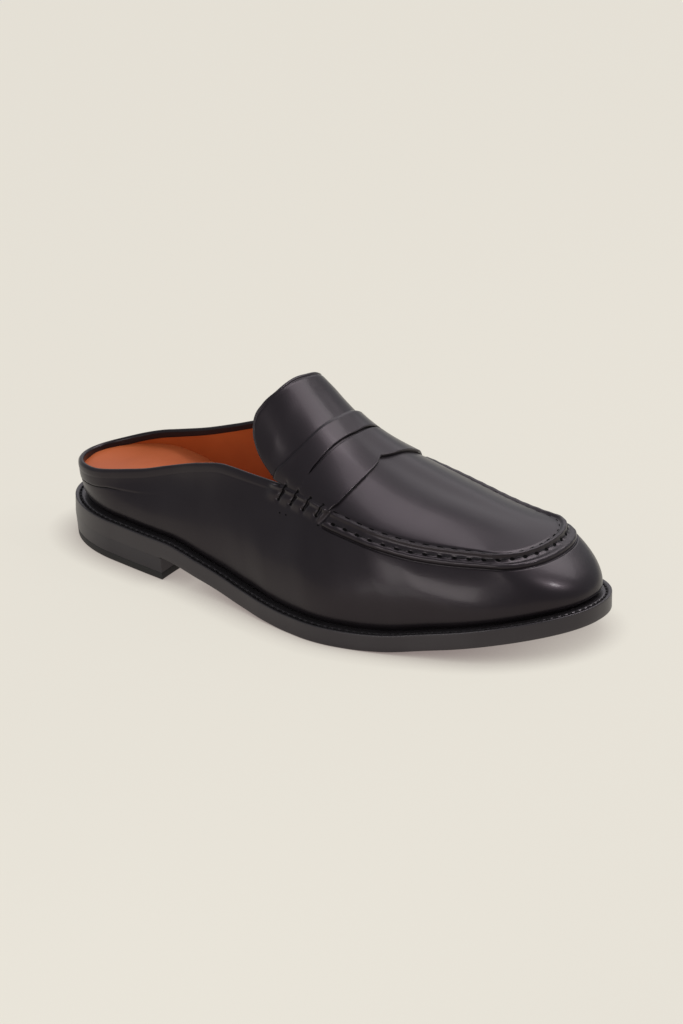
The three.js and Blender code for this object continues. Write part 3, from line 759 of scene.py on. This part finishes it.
def strapHalf(backX, frontX, slitAtFront):
    spread = np.linspace(0, 1, int(max((frontX - backX).max() / sheetStep, 4)) + 2)[1:-1]
    scale = np.minimum(1, (frontX - backX) / 4)[:, None]
    flat = (frontX - backX)[:, None] - 2 * fineEdge[-1] * scale
    rows = np.concatenate([
        backX[:, None] + fineEdge * scale,
        backX[:, None] + fineEdge[-1] * scale + flat * spread,
        frontX[:, None] - fineEdge[::-1] * scale,
    ], axis=1)
    fromBack, fromFront, side = rows - backX[:, None], frontX[:, None] - rows, acrossRows(strapInside, rows)
    # the back edge is skived thin, the front edge and the slit are cut square and rounded
    radius, openness = strapLook["edge"], np.clip(slitHalf / 0.4, 0, 1)[:, None]
    if slitAtFront:
        skived = (strapLook["high"] - strapLook["low"]) * (1 - soft(fromBack, *strapLook["skive"]))
        drop = np.maximum(skived, roundedDrop(fromFront, radius) * openness)
    else:
        drop = np.maximum(roundedDrop(fromBack, radius) * openness, roundedDrop(fromFront, radius))
    drop = np.maximum(drop, roundedDrop(side, radius))
    toThread = np.min(np.abs(rows[..., None] - np.array(endLook["topX"])), axis=-1)
    lift = strapRise(side) - drop
    for deep, inside, wide, long in threadMarks:
        lift = lift - deep * bump(side, inside, wide) * bump(toThread, 0, long)
    return walledSheet(rows, acrossRows(strapW, rows), strapLook["sideGap"], lift, strapLook["low"])


def joined(*parts):
    points, faces, start = [], [], 0
    for part, quads in parts:
        points.append(part)
        faces.append(np.asarray(quads) + start)
        start += len(part)
    return np.concatenate(points), np.concatenate(faces)


strapFront = np.interp(strapW, *np.array(strapFrontRows).T)
strapHalves = (
    strapHalf(strapBack(strapW), slitMiddle - slitHalf, True),
    strapHalf(slitMiddle + slitHalf, strapFront, False),
)
strapPiece = addPiece("saddle_strap", *joined(*strapHalves), calf, "upper_leather", ("strap",))
print("strap made:", len(strapPiece.data.polygons), "faces")


tongueLook = {
    "low": -1.45, "high": 0.1, "frontX": 143.0, "edge": 0.6, "sideGap": 0.1, "liningLow": -2.4,
    "liningInset": 0.45, "liningEdge": 0.4, "lineAt": 1.15, "lineWide": 0.3, "lineDeep": 0.32,
}
lineEdge = np.array([0, 0.04, 0.12, 0.25, 0.42, 0.62, 0.8, 0.95, 1.1, 1.25, 1.4, 1.6, 2.0])


def tongueSheet(inset, radius, low, high, upside):
    w, inside = archShares(126.0, np.append(lineEdge, 2.6))
    backX = (tongueBack(w) + inset)[:, None]
    flat = tongueLook["frontX"] - backX - lineEdge[-1]
    spread = np.linspace(0, 1, 26)[1:]
    rows = np.concatenate([backX + lineEdge, backX + lineEdge[-1] + flat * spread], axis=1)
    side = acrossRows(inside, rows)
    drop = np.maximum(roundedDrop(rows - backX, radius), roundedDrop(side, radius))
    if upside:
        toEdge = np.minimum(rows - backX, side)
        drop = drop + tongueLook["lineDeep"] * bump(toEdge, tongueLook["lineAt"], tongueLook["lineWide"])
    lift, foot = (high - drop, low) if upside else (low + drop, high)
    return walledSheet(rows, acrossRows(w, rows), tongueLook["sideGap"] + inset, lift, foot)


addPiece(
    "tongue_leather", *tongueSheet(0.0, tongueLook["edge"], tongueLook["low"], tongueLook["high"], True),
    calf, "upper_leather", ("tongue",),
)
underPoints, underFaces = tongueSheet(
    tongueLook["liningInset"], tongueLook["liningEdge"], tongueLook["liningLow"], tongueLook["low"], False
)
addPiece("tongue_lining", underPoints, underFaces[:, ::-1], shadedCognac, "footbed_leather", ("tongue",))
print("tongue made")


# stitches, as joined lengths of thread

def threadMesh(paths, radius, sides=7):
    points, faces, start = [], [], 0
    turn = np.linspace(0, 2 * np.pi, sides, endpoint=False)
    for path, upward in paths:
        run = unit(np.gradient(path, axis=0))
        across = unit(np.cross(run, upward))
        out = unit(np.cross(across, run))
        t = np.linspace(-1, 1, len(path))
        thick = radius * np.sqrt(np.clip(1 - np.abs(t) ** 6, 0.04, 1))
        ringPoints = path[:, None] + thick[:, None, None] * (
            np.cos(turn)[None, :, None] * across[:, None] + np.sin(turn)[None, :, None] * out[:, None]
        )
        points.append(ringPoints.reshape(-1, 3))
        index = start + np.arange(len(path) * sides).reshape(len(path), sides)
        looped = np.concatenate([index, index[:, :1]], axis=1)
        faces.extend(gridFaces(looped).tolist())
        faces.append(index[0].tolist())
        faces.append(index[-1][::-1].tolist())
        start += len(path) * sides
    return np.concatenate(points), faces


def skinAt(run, below, extra=0.0):
    # place and normal on the finished skin at a distance along the top line and below it
    station = np.interp(run, stationRun, np.arange(stationCount))
    k = int(np.clip(np.floor(station), 0, stationCount - 2))
    mix = station - k
    place, normal = 0.0, 0.0
    for which, weight in ((k, 1 - mix), (k + 1, mix)):
        valid = skinIndex[which] >= 0
        index, depth = skinIndex[which][valid], -skinBelow[which][valid]
        place = place + weight * placeAt(-below, depth, leatherPoints[index])
        normal = normal + weight * placeAt(-below, depth, skinNormals[index])
    normal = unit(normal)
    return place + normal * extra, normal


def alongX(run):
    return np.interp(run, stationRun, stationX)


def threadOn(spots):
    # a thread's path and its upward directions, from places with their normals
    return tuple(np.array(part) for part in zip(*spots))


apronThread = {"radius": 0.32, "gap": 0.16, "beside": 0.25, "arch": 0.3, "oval": (1.15, 0.72)}
apronThreads = []
for first, second in zip(holeRun[:-1], holeRun[1:]):
    spots, gap = [], apronThread["gap"]
    for part in np.linspace(0, 1, 9):
        run = first + (second - first) * (gap + (1 - 2 * gap) * part)
        arch = apronThread["arch"] * (np.sin(np.pi * part) ** 0.5 - 1)
        spots.append(skinAt(run, holeBelow(alongX(run)) - apronThread["beside"], arch))
    apronThreads.append(threadOn(spots))
addPiece("apron_stitches", *threadMesh(apronThreads, apronThread["radius"]), waxedThread, "upper_leather")


def strapTop(side, x, inside):
    w = np.linspace(side, 0.6 * side, 60)
    run = runAlong(archPoint(np.full_like(w, x), w))
    at = np.interp(inside, run, w)
    normal = archNormal(np.array([x]), np.array([at]))[0]
    return archPoint(x, at) + normal * strapRise(inside), normal


# small dark ovals laid where the awl went through: painted shade inside the holes
ovalTurns = np.linspace(0, 2 * np.pi, 12, endpoint=False)


def ovalAt(long, wide):
    return [(0.0, 0.0)] + [
        (share * long * np.cos(turn), share * wide * np.sin(turn))
        for share in (0.6, 1.0) for turn in ovalTurns
    ]


def ovalOn(run, below, long, wide):
    return [skinAt(run + along, below + across) for along, across in ovalAt(long, wide)]


def shadeOvalMesh(spots):
    points, faces, sides = [], [], len(ovalTurns)
    for spot in spots:
        start = len(points)
        points.extend(place + normal * 0.05 for place, normal in spot)
        for k in range(sides):
            n = (k + 1) % sides
            faces.append([start, start + 1 + k, start + 1 + n])
            faces.append([start + 1 + k, start + 1 + sides + k, start + 1 + sides + n, start + 1 + n])
    return np.array(points), faces


def easedThread(spots):
    fine = np.linspace(0, len(spots) - 1, 34)
    path, ups = (placeAt(fine, np.arange(len(spots)), part) for part in threadOn(spots))
    kernel = np.array([1, 2, 3, 2, 1]) / 9
    padded = np.pad(path, ((2, 2), (0, 0)), mode="edge")
    return np.stack([np.convolve(padded[:, c], kernel, "valid") for c in range(3)], -1), ups


# black thread at the strap ends, in the near-black finish and sunk in the pinch valleys: thread, and also
# painted shade of the gaps between the pinched pillows
endThread = {
    "radius": 0.3, "holeInside": 1.15, "ovalInside": 1.3, "upperOval": (0.62, 0.5),
    "lowerOval": (0.62, 0.6), "ovalBelow": 0.25, "tackOval": (0.45, 0.42),
}
# distance outward from the upper hole, height over the strap
overStrap = [(0.0, -0.4), (0.15, 0.0), (0.5, 0.12)]
# distance below the top line, height over the skin
overBand = [(0.45, 0.16), (1.1, 0.1), (2.0, 0.08), (3.0, 0.08), (4.0, 0.08)]
# x of the small tack holes below the strap end, shown only as painted-shade ovals, distance below the top
# line
tackHoles = [(134.2, 11.0), (138.0, 10.7), (156.6, 8.2)]
endThreads, holeShadeSpots = [], []
for side in (-1, 1):
    half = slice(0, perSide) if side < 0 else slice(perSide, stationCount)
    runAt = lambda x: float(np.interp(-side * x, -side * stationX[half], stationRun[half]))
    for topX, lowX, lowBelow in zip(endLook["topX"], endLook["lowX"], endLook["lowerHoleAt"]):
        start, spots = endThread["holeInside"], []
        leanX = lambda reach: topX + (lowX - topX) * (reach / (start + lowBelow))
        for reach, extra in overStrap:
            place, normal = strapTop(side, leanX(reach), start - reach)
            spots.append((place + normal * extra, normal))
        for down, extra in overBand + [(lowBelow - 0.5, 0.05), (lowBelow, -0.3)]:
            spots.append(skinAt(runAt(leanX(start + down)), down, extra))
        endThreads.append(easedThread(spots))
        holeShadeSpots.append([
            strapTop(side, topX + along, endThread["ovalInside"] + across)
            for along, across in ovalAt(*endThread["upperOval"])
        ])
        holeShadeSpots.append(ovalOn(runAt(lowX), lowBelow + endThread["ovalBelow"], *endThread["lowerOval"]))
    holeShadeSpots.extend(ovalOn(runAt(x), down, *endThread["tackOval"]) for x, down in tackHoles)
addPiece("strap_end_stitches_and_gap_shade", *threadMesh(endThreads, endThread["radius"], 9), threadAndShadeBlack, "upper_leather")

holeShadeSpots.extend(ovalOn(run, holeBelow(alongX(run)), *apronThread["oval"]) for run in holeRun)
addPiece("awl_hole_painted_shade", *shadeOvalMesh(holeShadeSpots), threadAndShadeBlack, "upper_leather")

# black thread dashes in the gutter inside the seam's ridge, in the near-black finish: thread plus painted
# shade of the gutter
gutterThread = {"radius": 0.28, "reach": 0.26, "beside": 0.1, "arch": 0.16, "archTurn": 5.6}
gutterThreads = []
for run in holeRun:
    spots = []
    for part in np.linspace(-gutterThread["reach"], gutterThread["reach"], 7):
        arch = gutterThread["arch"] * (np.cos(part * gutterThread["archTurn"]) - 1)
        spots.append(skinAt(run + part * holePitch, gutterBelow(run) - gutterThread["beside"], arch))
    gutterThreads.append(threadOn(spots))
addPiece("gutter_stitches_and_shade", *threadMesh(gutterThreads, gutterThread["radius"], 6), threadAndShadeBlack, "upper_leather")

# a painted shade line: a dark strip laid in the counter's groove round the back, dying out along each side
counterShadeEnds = (
    (0, np.interp(heelLook["shadeEnd"], stationX[:perSide], stationRun[:perSide])),
    (stationRun[-1], np.interp(-heelLook["shadeEnd"], -stationX[perSide:], stationRun[perSide:])),
)


def counterShadeSpot(run, share):
    below = heelLineBelow(alongX(run)) + heelLook["shadeSide"]
    return skinAt(run, below, heelLook["shadeHigh"] - heelLook["shadeSinks"] * share ** 2)


counterShadePaths = [
    threadOn([counterShadeSpot(run, k / 90) for k, run in enumerate(np.linspace(middle, end, 90))])
    for middle, end in counterShadeEnds
]
addPiece("counter_groove_painted_shade", *threadMesh(counterShadePaths, heelLook["shadeRadius"], 6), threadAndShadeBlack, "upper_leather")
print("stitches made:", len(apronThreads), "on the apron,", len(endThreads), "at the strap ends")


# sole, welt, heel and footbed

def soleSpots(count):
    t = np.linspace(0, 1, 4001)
    run = runAlong(soleEdge(t))
    spots = np.interp(np.linspace(0, run[-1], count), run, t)
    return np.concatenate([spots, (2 - spots[1:-1])[::-1]])


def edgeRing(inset, height, heelShare=1.0):
    # over the heel the inset is only heelShare of what it is in front
    front = soft(soleEdge(soleRing)[:, 0] - last["breastX"], -1.5, 0.5)
    flat = insetEdge(soleRing, float(inset) * (heelShare + (1 - heelShare) * front))
    return np.concatenate([flat, height(flat[:, 0])[:, None]], axis=1)


def ringSheet(rings):
    return gridSheet(np.stack(rings, 1), closed=True)


def acrossSheet(ring, columns, height):
    # a surface inside a ring: lines from each outer point to the inner point across from it
    half = len(ring) // 2
    outer, inner = ring[:half + 1], np.concatenate([ring[:1], ring[:half - 1:-1]])
    share = np.linspace(0, 1, columns)[None, :, None]
    points = outer[:, None] * (1 - share) + inner[:, None] * share
    points[..., 2] = height(points, np.broadcast_to(share[..., 0] * 2 - 1, points.shape[:2]))
    return gridSheet(points)


soleRing = soleSpots(321)
thick = last["outsoleThick"]
# inset, height over the underside
soleProfile = [
    (0.7, 0), (0.45, 0.05), (0.22, 0.2), (0.06, 0.42), (0, 0.7), (0, 2.6), (0, thick - 0.05), (0, thick),
]
soleRings = [edgeRing(inset, lambda x, up=up: underside(x) + up, 0.02) for inset, up in soleProfile]
soleUnder = acrossSheet(soleRings[0], 25, lambda points, w: underside(points[..., 0]))
outsolePiece = addPiece(
    "leather_outsole", *joined(ringSheet(soleRings), soleUnder),
    edgePaint, "sole_edge", ("outsole",), weld=True,
)
outsolePiece.data.materials.append(tread)
facesDown = np.array([face.normal.z < -0.8 for face in outsolePiece.data.polygons])
outsolePiece.data.polygons.foreach_set("material_index", facesDown.astype(int).tolist())
print("outsole made")

weltLook = {
    "grooveAt": 2.3, "grooveHalf": 0.6, "grooveDeep": 0.5, "pitch": 3.5, "radius": 0.36,
    "low": 0.62, "arch": 0.5, "gap": 0.12,
}
# inset, distance under the welt's top
weltEdge = [(0, 1.4), (0, 0.45), (0.05, 0.24), (0.16, 0.08), (0.36, 0.0)]
weltInsets = [0.62, 0.9, 1.2, 1.5, 1.7, 1.9, 2.1, 2.3, 2.5, 2.7, 2.9, 3.1, 3.4, 4.0, 4.8, 6.0, 9.0]
weltEdge += [
    (inset, weltLook["grooveDeep"] * float(bump(inset, weltLook["grooveAt"], weltLook["grooveHalf"])))
    for inset in weltInsets
]
weltRings = [edgeRing(0.0, lambda x, up=up: underside(x) + thick + up) for up in (0, 0.05)]
weltRings += [edgeRing(inset, lambda x, down=down: weltTop(x) - down) for inset, down in weltEdge]
addPiece("welt_strip", *ringSheet(weltRings), edgePaint, "welt_leather", ("welt",))

soleLine = np.concatenate([soleRing, soleRing[:1]])
soleLine = insetEdge(soleLine, np.full(len(soleLine), weltLook["grooveAt"]))
soleRun = runAlong(soleLine)
stitchCount = int(soleRun[-1] / weltLook["pitch"])
weltThreads = []
for k in range(stitchCount):
    runs = (k + np.linspace(weltLook["gap"], 1 - weltLook["gap"], 7)) * soleRun[-1] / stitchCount
    x, y = placeAt(runs, soleRun, soleLine).T
    z = weltTop(x) - weltLook["low"] + weltLook["arch"] * np.sin(np.pi * np.linspace(0, 1, 7)) ** 0.5
    weltThreads.append((np.stack([x, y, z], -1), np.tile([0.0, 0.0, 1.0], (7, 1))))
addPiece("welt_stitches", *threadMesh(weltThreads, weltLook["radius"], 6), waxedThread, "welt_leather")
print("welt made with", stitchCount, "stitches")


def heelLoop(z, extra):
    inset = last["heelTaper"] * (1 - z / last["heelHeight"]) + extra
    t = np.linspace(0, 0.6, 6001)
    sides = []
    for inner in (False, True):
        places = 2 - t if inner else t
        x = insetEdge(places, np.full(len(places), inset))[:, 0]
        run = np.linspace(0, 1, 90) * np.interp(last["breastX"] - extra, x, t)
        sides.append(insetEdge(2 - run if inner else run, np.full(90, inset)))
    outer, inner = sides
    across = np.linspace(0, 1, 31)[1:-1]
    breast = outer[-1] + (inner[-1] - outer[-1]) * across[:, None]
    breast[:, 0] -= last["breastHollow"] * 4 * across * (1 - across)
    flat = np.concatenate([outer, breast, inner[:0:-1]])
    return np.concatenate([flat, np.full((len(flat), 1), z)], axis=1)


def heelPiece(name, levels, finish, slot, node):
    loops = [heelLoop(z, extra) for z, extra in levels]
    points, faces = ringSheet(loops)
    size, rows = len(loops[0]), len(loops)
    caps = [[k * rows for k in range(size)][::-1], [k * rows + rows - 1 for k in range(size)]]
    piece = addPiece(name, points, faces.tolist() + caps, finish, slot, (node,), weld=True)
    piece.data.set_sharp_from_angle(angle=np.radians(38))


lift, top = last["topLiftThick"], last["heelHeight"]
# height, inset beyond the block's taper
liftLevels = [
    (0, 0.45), (0.08, 0.22), (0.25, 0.06), (0.5, 0), (lift - 0.25, 0), (lift - 0.06, 0.1), (lift, 0.2),
]
blockLevels = [(lift, 0.08), (lift + 0.08, 0.01), (lift + 0.2, 0), (top - 0.4, 0), (top, 0)]
heelPiece("rubber_lift", liftLevels, rubber, "top_lift_rubber", "top_lift")
heelPiece("heel_stack", blockLevels, heelPaintShaded, "sole_edge", "heel")
print("heel made")

# x, height of the outer rim, of the inner rim, depth of the dish
footbedRows = [
    (0, 31.4, 31.6, 0), (6, 31.6, 32.4, 0), (13, 32, 33.8, 1.4), (24, 33.1, 35.2, 2.8), (35, 33.8, 36.2, 3),
    (49, 33.4, 34.9, 3), (62, 31.4, 32.2, 2.8), (100, 25, 25.4, 2), (130, 18.8, 19, 1.2),
    (165, 13.7, 13.7, 0.6), (200, 13.4, 13.4, 0.4), (240, 19.5, 19.5, 0.3), (272, 24.5, 24.5, 0.2),
]
footbedOuter, footbedInner, footbedDish = (smoothCurve(footbedRows, k) for k in (1, 2, 3))
footbedLook = {"inset": 2.35, "heelInset": 1.1, "heelFade": (90, 130), "baseInset": 7.1}


def footbedRing(drop, inset):
    side, _ = sideAndT(soleRing)
    base = insetEdge(soleRing, np.full(len(soleRing), footbedLook["baseInset"]))[:, 0]
    z = np.where(side < 0, footbedOuter(base), footbedInner(base)) - drop
    wall = wallPoint(soleRing[:, None], np.linspace(0, 1, 161)[None])
    rows = np.array([placeAt(height, line[:, 2], line[:, :2]) for height, line in zip(z, wall)])
    # at the open heel the bed's edge runs into the lining, so no gap shows
    heelward = (1 - soft(base, *footbedLook["heelFade"])) * (footbedLook["inset"] - footbedLook["heelInset"])
    rows = rows - soleOutward(soleRing) * (inset + footbedLook["inset"] - heelward)[:, None]
    return np.concatenate([rows, z[:, None]], axis=1)


def footbedHeight(points, w):
    return points[..., 2] - footbedDish(points[..., 0]) * (1 - w ** 2)


# distance under the rim, inset from it
bedProfile = [(6, 0), (0.9, 0), (0.45, 0.1), (0.15, 0.35), (0, 0.8)]
bedEdge = [footbedRing(drop, inset) for drop, inset in bedProfile]
bedTop = acrossSheet(bedEdge[-1], 41, footbedHeight)
addPiece(
    "footbed", *joined(ringSheet(bedEdge), bedTop), footbedLeather, "footbed_leather", ("insole",), weld=True
)
print("footbed made")


# floor, light and camera

floorLook = {
    "colour": (0.05, 0.048, 0.044), "mottle": 0.985, "rough": 0.85, "shine": 0.1,
    "glow": (0.733, 0.698, 0.622), "contactShadow": (0.30, 0.25, 0.27), "shadeReach": 0.015,
}


def mixedColour(nodes, first, second):
    return addNode(nodes, "ShaderNodeMixRGB", {1: (*first, 1), 2: (*second, 1)})


def floorFinish(look):
    material, nodes, links, shader = newFinish("pale_floor")
    mottle = addNode(nodes, "ShaderNodeTexNoise", {"Scale": 3})
    tint = mixedColour(nodes, look["colour"], [part * look["mottle"] for part in look["colour"]])
    links.new(mottle.outputs["Fac"], tint.inputs["Fac"])
    links.new(tint.outputs["Color"], shader.inputs["Base Color"])
    shader.inputs["Roughness"].default_value = look["rough"]
    shader.inputs["Specular IOR Level"].default_value = look["shine"]
    # painted contact shadow: the floor's glow darkens softly where the sole comes close to it
    near = addNode(nodes, "ShaderNodeAmbientOcclusion", {"Distance": look["shadeReach"]})
    near.samples = 8
    shaded = [part * low for part, low in zip(look["glow"], look["contactShadow"])]
    shade = mixedColour(nodes, shaded, look["glow"])
    links.new(near.outputs["AO"], shade.inputs["Fac"])
    links.new(shade.outputs["Color"], shader.inputs["Emission Color"])
    shader.inputs["Emission Strength"].default_value = 1.0
    return material


floorMesh = bpy.data.meshes.new("floor")
floorMesh.from_pydata([(-9, -6, 0), (9, -6, 0), (9, 12, 0), (-9, 12, 0)], [], [(0, 1, 2, 3)])
floorMesh.materials.append(floorFinish(floorLook))
floor = bpy.data.objects.new("floor", floorMesh)
bpy.context.scene.collection.objects.link(floor)

cameraLook = {
    "swing": 33.08, "raise": 22.0, "away": 2.6, "lens": 207.5, "aimX": 136.0, "aimZ": 35.0, "slide": 6.4,
}
swing, rise = np.radians(cameraLook["swing"]), np.radians(cameraLook["raise"])
rightward = np.array([np.cos(swing), np.sin(swing), 0.0])
backward = np.array([np.sin(swing) * np.cos(rise), -np.cos(swing) * np.cos(rise), np.sin(rise)])
aim = np.array([cameraLook["aimX"], 0.0, cameraLook["aimZ"]]) + shoeShift
aim = (aim + rightward * cameraLook["slide"]) / 1000
cameraData = bpy.data.cameras.new("camera")
cameraData.lens = cameraLook["lens"]
cameraData.sensor_width = 36
cameraData.clip_end = 40
camera = bpy.data.objects.new("camera", cameraData)
camera.location = Vector(aim + backward * cameraLook["away"])
camera.rotation_euler = Vector(-backward).to_track_quat("-Z", "Y").to_euler()
bpy.context.scene.collection.objects.link(camera)
bpy.context.scene.camera = camera

# name, azimuth and elevation of the light from the shoe, distance, width, height, watts, colour
softboxes = [
    ("tongue_softbox", 61, 49, 0.62, 0.31, 0.36, 1.3, (1.0, 0.97, 0.975)),
    ("crown_softbox", 87, 67, 2.4, 1.7, 0.80, 14.2, (1.0, 0.945, 0.975)),
    ("apron_softbox", 114, 27, 2.6, 2.2, 0.95, 5.0, (1.0, 0.93, 0.965)),
    ("side_softbox", -71, 26, 0.55, 0.22, 0.27, 0.90, (0.97, 1.0, 0.93)),
    ("low_softbox", -92, 5, 2.2, 0.6, 0.5, 2.8, (0.97, 1.0, 0.93)),
    ("toe_softbox", 19, 42, 1.8, 0.17, 0.17, 6.0, (1.0, 0.985, 0.985)),
]
for name, azimuth, elevation, away, wide, high, watts, colour in softboxes:
    light = bpy.data.lights.new(name, "AREA")
    light.shape = "RECTANGLE"
    light.size, light.size_y, light.energy, light.color = wide, high, watts, colour
    lamp = bpy.data.objects.new(name, light)
    lamp.visible_camera = False
    az, el = np.radians(azimuth), np.radians(elevation)
    way = Vector((np.cos(az) * np.cos(el), np.sin(az) * np.cos(el), np.sin(el)))
    lamp.location = Vector(aim.tolist()) + way * away
    lamp.rotation_euler = way.to_track_quat("Z", "Y").to_euler()
    bpy.context.scene.collection.objects.link(lamp)
world = bpy.data.worlds.new("studio")
world.use_nodes = True
sky = world.node_tree.nodes["Background"].inputs
sky["Color"].default_value, sky["Strength"].default_value = (0.95, 0.96, 1.0, 1), 0.42
bpy.context.scene.world = world
bpy.context.scene.view_settings.view_transform = "Standard"
print("floor, light and camera set")
